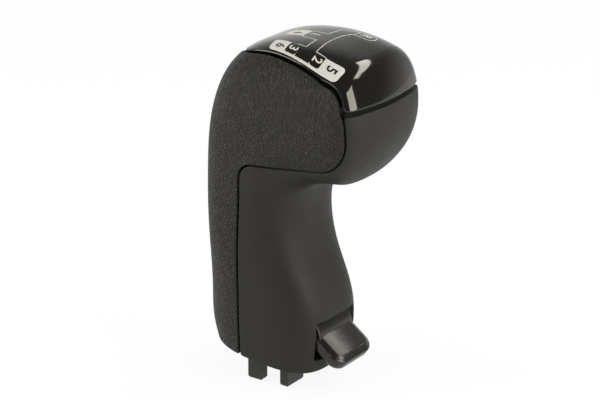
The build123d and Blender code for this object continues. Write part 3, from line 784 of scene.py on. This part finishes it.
def set_inputs(tree, node, inputs):
    """Set a node's inputs: each is a value, a socket to link from, or a node whose first output is meant."""
    for name, value in inputs.items():
        if isinstance(value, bpy.types.Node):
            value = value.outputs[0]
        if isinstance(value, bpy.types.NodeSocket):
            tree.links.new(value, node.inputs[name])
        else:
            node.inputs[name].default_value = value


def add_node(tree, kind, inputs=None, **settings):
    """One shader node with its settings and inputs."""
    node = tree.nodes.new("ShaderNode" + kind)
    for name, value in settings.items():
        setattr(node, name, value)
    set_inputs(tree, node, inputs or {})
    return node


def new_material(name):
    """Material with its node tree and its surface shader."""
    material = bpy.data.materials.new(name)
    material.use_nodes = True
    return material, material.node_tree, material.node_tree.nodes["Principled BSDF"]


def shade(tone, factor):
    """A colour made darker or paler."""
    return tuple(min(1.0, v * factor) for v in tone[:3]) + (1.0,)


# Warm tint that every black piece shows in its highlights
WARM_SHEEN = (1.0, 0.94, 0.83, 1.0)


def grained_hide():
    """Grained hide, stretched and glued over the grip.

    The eye gets fine pebbles with valleys painted darker as shade, a soft sheen on their tops, and upright
    pull folds where the hide goes over the crown, their hollows painted darker as shade too.
    """
    material, tree, shader = new_material("grained_hide")
    pebble_mm, fold_mm, fold_long_mm, patch_mm, relief_mm = 1.3, 0.9, 3.4, 9.0, 0.45
    pull_low_mm, pull_high_mm = 98.0, 122.0
    where = add_node(tree, "TexCoord").outputs["Object"]
    cells = {"Vector": where, "Scale": 1 / (pebble_mm * MM)}
    pebble = add_node(tree, "TexVoronoi", cells, feature="DISTANCE_TO_EDGE")
    top = add_node(tree, "MapRange", {"Value": pebble, "From Max": 0.42})
    stretch = (1 / (fold_mm * MM), 1 / (fold_mm * MM), 1 / (fold_long_mm * MM))
    upright = add_node(tree, "Mapping", {"Vector": where, "Scale": stretch})
    fold = add_node(tree, "TexNoise", {"Vector": upright, "Scale": 1.0, "Detail": 3.0, "Distortion": 1.1})
    ridge = add_node(tree, "MapRange", {"Value": fold, "From Min": 0.36, "From Max": 0.64})
    height = add_node(tree, "SeparateXYZ", {"Vector": where}).outputs["Z"]
    rise = {"From Min": pull_low_mm * MM, "From Max": pull_high_mm * MM, "To Min": 0.15, "To Max": 0.85}
    pulled = add_node(tree, "MapRange", {"Value": height, **rise})
    grain = add_node(tree, "Mix", {"Factor": pulled, "A": top, "B": ridge}, data_type="FLOAT")
    # Painted sheen: broad random patches that lift the hide's colour towards its lighter tone by up to 0.3
    patch = add_node(tree, "TexNoise", {"Vector": where, "Scale": 1 / (patch_mm * MM), "Detail": 3.0})
    painted_sheen = add_node(tree, "MapRange", {"Value": patch, "From Min": 0.3, "From Max": 0.7})
    blend = add_node(tree, "Math", {0: painted_sheen, 1: 0.3, 2: grain}, operation="MULTIPLY_ADD")
    c = colours()
    # Painted shade: the darkened crease colour fills the valleys and fold hollows, the hide's tone the tops
    tone = add_node(tree, "Mix", {"Factor": blend, "A": c.hide_crease_shade, "B": c.hide}, data_type="RGBA")
    bump = add_node(tree, "Bump", {"Height": grain, "Strength": 1.0, "Distance": relief_mm * MM})
    rough = add_node(tree, "MapRange", {"Value": grain, "To Min": 0.7, "To Max": 0.34})
    surface = {"Base Color": tone.outputs["Result"], "Normal": bump, "Roughness": rough}
    set_inputs(tree, shader, surface | {"Specular IOR Level": 0.36, "Specular Tint": WARM_SHEEN})
    return material


def moulded(name, tone, roughness, grit_mm, depth_mm, mottle=0.15, specular=0.5, ior=1.5):
    """Moulded plastic: an even tone with faint clouds, over the grit that the tool leaves."""
    material, tree, shader = new_material(name)
    cloud_mm = 8.0
    where = add_node(tree, "TexCoord").outputs["Object"]
    grit = add_node(tree, "TexNoise", {"Vector": where, "Scale": 1 / (grit_mm * MM), "Detail": 2.0})
    cloud = add_node(tree, "TexNoise", {"Vector": where, "Scale": 1 / (cloud_mm * MM), "Detail": 4.0})
    dark, pale = shade(tone, 1 - mottle), shade(tone, 1 + mottle)
    mix = add_node(tree, "Mix", {"Factor": cloud, "A": dark, "B": pale}, data_type="RGBA")
    bump = add_node(tree, "Bump", {"Height": grit, "Strength": 0.5, "Distance": depth_mm * MM})
    spread = {"From Min": 0.3, "From Max": 0.7, "To Min": roughness * 0.9, "To Max": roughness * 1.1}
    rough = add_node(tree, "MapRange", {"Value": cloud, **spread})
    surface = {"Base Color": mix.outputs["Result"], "Normal": bump, "Roughness": rough}
    sheen = {"IOR": ior, "Specular IOR Level": specular, "Specular Tint": WARM_SHEEN}
    set_inputs(tree, shader, surface | sheen)
    return material


def matt_abs():
    """ABS from a spark-eroded tool: an even dull black whose fine grit spreads every highlight."""
    return moulded("matt_abs", tuple(colours().shell), 0.55, 0.4, 0.015, specular=0.22)


def polished_acrylic():
    """Acrylic from a polished tool: near black and mirror smooth, with a very slight waviness."""
    return moulded("polished_acrylic", tuple(colours().cap), 0.07, 7.0, 0.006, mottle=0.1, ior=1.56)


def screen_ink():
    """Screen-printed ink: a flat, slightly warm white with a soft gloss."""
    return moulded("screen_ink", tuple(colours().ink), 0.4, 0.4, 0.002, mottle=0.03)


def rubbed_nylon():
    """Filled nylon rubbed by thumbs: dark, with blotches of gloss that mottle its highlights."""
    return moulded("rubbed_nylon", tuple(colours().tab), 0.26, 1.1, 0.06, mottle=0.3, specular=0.5)


def drawn_metal(name, tone, roughness, brush_mm):
    """Turned or drawn metal: bright, with fine marks round the piece and a little dulling."""
    material, tree, shader = new_material(name)
    long_mm, depth_mm = 2.0, 0.02
    where = add_node(tree, "TexCoord").outputs["Object"]
    stretch = (1 / (long_mm * MM), 1 / (long_mm * MM), 1 / (brush_mm * MM))
    turned = add_node(tree, "Mapping", {"Vector": where, "Scale": stretch})
    marks = add_node(tree, "TexNoise", {"Vector": turned, "Scale": 1.0, "Detail": 3.0})
    mix = add_node(tree, "Mix", {"Factor": marks, "A": shade(tone, 0.75), "B": tone}, data_type="RGBA")
    bump = add_node(tree, "Bump", {"Height": marks, "Strength": 0.25, "Distance": depth_mm * MM})
    rough = add_node(tree, "MapRange", {"Value": marks, "To Min": roughness * 0.8, "To Max": roughness * 1.3})
    surface = {"Base Color": mix.outputs["Result"], "Normal": bump, "Roughness": rough, "Metallic": 1.0}
    set_inputs(tree, shader, surface)
    return material


class KNOB_OT_skins(bpy.types.Operator):
    """Build the hide grip, the matt front shell and the gloss cap from one shared skin"""

    bl_idname = "knob.skins"
    bl_label = "Outer skins"

    def execute(self, context):
        s = sizes()
        skin = knob_skin()
        hide = skin_solid(skin, hide_bounds, s.hide_edge, s.hide_wall)
        make_piece("hide_grip", hide, grained_hide(), "knob", "grained_hide", "rear_grip")
        shell = skin_solid(skin, shell_bounds, s.shell_edge, s.shell_wall, lipped=2)
        make_piece("matt_front", shell, matt_abs(), "knob", "matt_shell", "front_shell")
        cap = skin_solid(skin, cap_bounds, s.cap_edge, s.cap_wall)
        make_piece("gloss_crown", cap, polished_acrylic(), "knob", "gloss_cap", "top_cap")
        return {"FINISHED"}


class KNOB_OT_print(bpy.types.Operator):
    """Lay the shift pattern on the cap: white cells, black boxes, thin gate lines and numerals"""

    bl_idname = "knob.print"
    bl_label = "Shift pattern"

    def execute(self, context):
        s = sizes()
        crown = crown_points()
        white, black = [], []
        square, box_round = (0.0,) * 4, (BOX_ROUND,) * 4
        cell_start, cell_end = (CELL_ROUND, CELL_ROUND, 0.0, 0.0), (0.0, 0.0, CELL_ROUND, CELL_ROUND)
        box_low = STRIP_DEEP + 2 * BOX_ROUND
        patches = (
            (white, 1, rounded_patch((CELL_6[0], 0.0), (CELL_6[1], BAND_DEEP), cell_start)),
            (white, 1, rounded_patch((CELL_5[0], 0.0), (CELL_5[1], BAND_DEEP), cell_end)),
            (white, 1, rounded_patch((CELL_6[1], 0.0), (CELL_5[0], STRIP_DEEP), square, 48)),
            (white, 1, rounded_patch((BOX_3[0], STRIP_DEEP), (BOX_3[1], box_low), square)),
            (white, 1, rounded_patch((BOX_2[0], STRIP_DEEP), (BOX_2[1], box_low), square)),
            (black, 2, rounded_patch((BOX_3[0], STRIP_DEEP), (BOX_3[1], BAND_DEEP), box_round)),
            (black, 2, rounded_patch((BOX_2[0], STRIP_DEEP), (BOX_2[1], BAND_DEEP), box_round)),
        )
        for sheet, layer, patch in patches:
            points = band_point(crown, patch.reshape(-1, 2), layer * s.print_lift)
            sheet.append((points, [grid_quads(*patch.shape[:2])]))
        cell_4 = rounded_patch(*CELL_4, cell_start)
        plan = cell_4.reshape(-1, 2)[:, ::-1] * (1, -1)
        white.append((lift(crown, plan, s.print_lift), [grid_quads(*cell_4.shape[:2])]))
        for path in GATE:
            strip = ribbon(path, s.gate_line)
            white.append((lift(crown, strip.reshape(-1, 2), s.print_lift), [grid_quads(*strip.shape[:2])]))
        for text, first, second in BAND_NUMBERS + PLAN_NUMBERS:
            shape, faces = numeral_shape(text, s.numeral)
            if (text, first, second) in BAND_NUMBERS:
                points = band_point(crown, (first, second) + shape[:, ::-1] * (1, -1), 3 * s.print_lift)
            else:
                points = lift(crown, (first, second) - shape, 2 * s.print_lift)
            (black if text in ON_WHITE else white).append((points, [faces]))
        acrylic = bpy.data.materials["polished_acrylic"]
        films = (
            make_piece("print_white", join_solids(white), screen_ink(), "knob", "white_moulding"),
            make_piece("print_black", join_solids(black), acrylic, "knob", "gloss_cap"),
        )
        for film in films:
            face_up(film.data)
            ink = film.modifiers.new("ink", "SOLIDIFY")
            ink.thickness = 2 * s.print_lift * MM
            ink.offset = -1.0
        return {"FINISHED"}


class KNOB_OT_tab(bpy.types.Operator):
    """Build the range tab: crowned paddle and the drum it swings on"""

    bl_idname = "knob.range_tab"
    bl_label = "Range tab"

    def execute(self, context):
        tab = join_solids([tab_paddle(), tab_drum()])
        piece = make_piece("range_paddle", tab, rubbed_nylon(), "range_tab", "satin_tab", "range_tab")
        piece.data.set_sharp_from_angle(angle=math.radians(50))
        return {"FINISHED"}


class KNOB_OT_inner(bpy.types.Operator):
    """Give the carrier, sleeve, switch and fasteners their finishes, and build the return spring"""

    bl_idname = "knob.inner"
    bl_label = "Carrier and inner pieces"

    def execute(self, context):
        black = moulded("glass_filled_nylon", linear("#1d1c19"), 0.45, 0.5, 0.02, specular=0.4)
        white = moulded("natural_acetal", linear("#d8d4c8"), 0.45, 0.5, 0.01)
        steel = drawn_metal("turned_steel", linear("#8d8c88"), 0.34, 0.3)
        spring = drawn_metal("spring_steel", linear("#6f6e6b"), 0.3, 0.2)
        zinc = drawn_metal("zinc_plated_steel", linear("#a9a79c"), 0.38, 0.4)
        brass = drawn_metal("stamped_brass", linear("#c2a25a"), 0.3, 0.3)
        finishes = (
            (black, ("carrier",)),
            (steel, ("lever_sleeve", "pivot_pin")),
            (spring, ("pin_clip",)),
            (white, ("pivot_washers", "switch_body", "switch_cover", "switch_plunger")),
            (brass, ("switch_terminals",)),
            (zinc, ("grip_screws", "base_screws", "cap_screws", "switch_screws")),
        )
        for material, names in finishes:
            for name in names:
                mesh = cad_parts[name].data
                mesh.materials.clear()
                mesh.materials.append(material)
        coil = make_piece("return_coil", return_coil(), spring, "knob", "spring_steel", "plunger_spring")
        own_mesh(coil)
        return {"FINISHED"}


# Camera as solved from the photograph: the way to it (azimuth, elevation), what it looks at and how far off
# that is, in metres, its sensor's width, and its focal length, rise and picture's width in pixels
EYE = -55.0, 21.0
TARGET = np.array((0.0, -8.0, 62.0)) * MM
DISTANCE = 0.9
SENSOR_MM, FOCAL_PX, RISE_PX, WIDE_PX = 36.0, 2332, 5, 600

# Lamps, as far off: name, azimuth, elevation, width and height in metres, watts; then the strip's ends
LAMPS = (
    ("front_softbox", 4.0, 15.0, 0.58, 0.50, 6.2),
    ("far_strip", 58.5, 43.0, 0.80, 0.13, 2.5),
    ("side_softbox", -100.0, 24.0, 0.4, 0.4, 1.7),
    ("rear_softbox", -148.0, 22.0, 0.5, 0.6, 5.0),
)
STRIP_ENDS = (34.5, 36.5), (83.5, 49.5)


def towards(azimuth, elevation):
    """Direction at an azimuth in degrees from straight ahead of the nose, towards +X, and an elevation."""
    a, e = math.radians(azimuth), math.radians(elevation)
    return np.array((math.sin(a) * math.cos(e), -math.cos(a) * math.cos(e), math.sin(e)))


def put_facing(thing, way, along=None):
    """Stand a lamp or camera some way off the target, facing it, its X axis level or along a direction."""
    back, place = unit(way), TARGET + way * DISTANCE
    level = np.cross((0, 0, 1), back) if along is None else along
    x = unit_across(level, back)
    turn = Matrix((x, np.cross(back, x), back)).transposed().to_4x4()
    thing.matrix_world = Matrix.Translation(place) @ turn


class KNOB_OT_stage(bpy.types.Operator):
    """Set up the pale floor, the soft studio light and the camera at the photograph's angle"""

    bl_idname = "knob.stage"
    bl_label = "Floor, light and camera"

    def execute(self, context):
        scene = context.scene
        scene.view_settings.view_transform = "Standard"
        self.lay_floor()
        self.light_world(scene)
        self.hang_lamps()
        camera = bpy.data.cameras.new("camera")
        camera.sensor_width = SENSOR_MM
        camera.lens = SENSOR_MM * FOCAL_PX / WIDE_PX
        camera.shift_y = RISE_PX / WIDE_PX
        camera.clip_start = 0.05
        scene.camera = new_object("camera", camera)
        put_facing(scene.camera, towards(*EYE))
        return {"FINISHED"}

    def lay_floor(self):
        """Pale floor under the foot: shaded, so that it keeps the shadow, and mostly white to the eye."""
        half, level, glow_share = 3.0, cad_box[0].z, 0.9
        corners = [(-half, -half, level), (half, -half, level), (half, half, level), (-half, half, level)]
        mesh = bpy.data.meshes.new("studio_floor")
        mesh.from_pydata(corners, [], [(0, 1, 2, 3)])
        floor = new_object("studio_floor", mesh)
        material, tree, shader = new_material("studio_floor")
        set_inputs(tree, shader, {"Base Color": tuple(colours().floor), "Roughness": 0.8})
        seen = self.seen_rays(tree, ("Is Camera Ray", "Is Glossy Ray", "Is Transmission Ray"))
        share = add_node(tree, "Math", {0: seen, 1: glow_share}, operation="MULTIPLY")
        glow = add_node(tree, "Emission", {"Color": (1, 1, 1, 1), "Strength": 1.0})
        mix = add_node(tree, "MixShader", {0: share, 1: shader, 2: glow})
        set_inputs(tree, tree.nodes["Material Output"], {"Surface": mix})
        mesh.materials.append(material)

    def light_world(self, scene):
        """White surround to the eye; mirrored, it is white low behind the knob and dims up and forwards."""
        world = bpy.data.worlds.new("studio")
        world.use_nodes = True
        scene.world = world
        tree = world.node_tree
        fill, low_behind = 0.55, (0.82, 0.57, -0.8)
        where = add_node(tree, "TexCoord").outputs["Generated"]
        behind = add_node(tree, "VectorMath", {0: where, 1: low_behind}, operation="DOT_PRODUCT")
        fade = {"From Min": 0.1, "From Max": 0.9, "To Min": 0.2, "To Max": 1.0}
        wall = add_node(tree, "MapRange", {"Value": behind.outputs["Value"], **fade})
        mirrored = self.seen_rays(tree, ("Is Glossy Ray",))
        unseen = add_node(tree, "MapRange", {"Value": mirrored, "To Min": fill, "To Max": wall})
        seen = self.seen_rays(tree, ("Is Camera Ray", "Is Transmission Ray"))
        strength = add_node(tree, "MapRange", {"Value": seen, "To Min": unseen, "To Max": 1.0})
        set_inputs(tree, tree.nodes["Background"], {"Color": (1, 1, 1, 1), "Strength": strength})

    def seen_rays(self, tree, kinds):
        """Socket that is 1 for the named kinds of light path and 0 for the rest."""
        path = add_node(tree, "LightPath")
        socket = path.outputs[kinds[0]]
        for kind in kinds[1:]:
            either = {0: socket, 1: path.outputs[kind]}
            socket = add_node(tree, "Math", either, operation="MAXIMUM").outputs[0]
        return socket

    def hang_lamps(self):
        """Soft boxes in front of the nose, at the near flank and behind it, and a strip on the far side."""
        low, high = (towards(*end) for end in STRIP_ENDS)
        for name, azimuth, elevation, width, height, power in LAMPS:
            lamp = bpy.data.lights.new(name, "AREA")
            lamp.shape = "RECTANGLE"
            lamp.size, lamp.size_y, lamp.energy = width, height, power
            along = high - low if name == "far_strip" else None
            put_facing(new_object(name, lamp), towards(azimuth, elevation), along)


class KNOB_PT_panel(bpy.types.Panel):
    """Lists the steps that dress the knob."""

    bl_idname = "KNOB_PT_panel"
    bl_label = "Shift Knob"
    bl_space_type = "VIEW_3D"
    bl_region_type = "UI"
    bl_category = "Shift Knob"

    def draw(self, context):
        for step in STEPS:
            self.layout.operator(step.bl_idname)
        for group in (sizes(), colours()):
            box = self.layout.box()
            for name in group.__annotations__:
                box.prop(group, name)


STEPS = (KNOB_OT_skins, KNOB_OT_print, KNOB_OT_tab, KNOB_OT_inner, KNOB_OT_stage)
CLASSES = (KnobSizes, KnobColours, *STEPS, KNOB_PT_panel)


def register():
    for cls in CLASSES:
        bpy.utils.register_class(cls)
    bpy.types.Scene.knob_sizes = bpy.props.PointerProperty(type=KnobSizes)
    bpy.types.Scene.knob_colours = bpy.props.PointerProperty(type=KnobColours)


def unregister():
    del bpy.types.Scene.knob_colours
    del bpy.types.Scene.knob_sizes
    for cls in reversed(CLASSES):
        bpy.utils.unregister_class(cls)


def main():
    """Dress the frame piece by piece."""
    register()
    bpy.ops.knob.skins()
    bpy.ops.knob.print()
    bpy.ops.knob.range_tab()
    bpy.ops.knob.inner()
    bpy.ops.knob.stage()


if __name__ == "__main__":
    main()
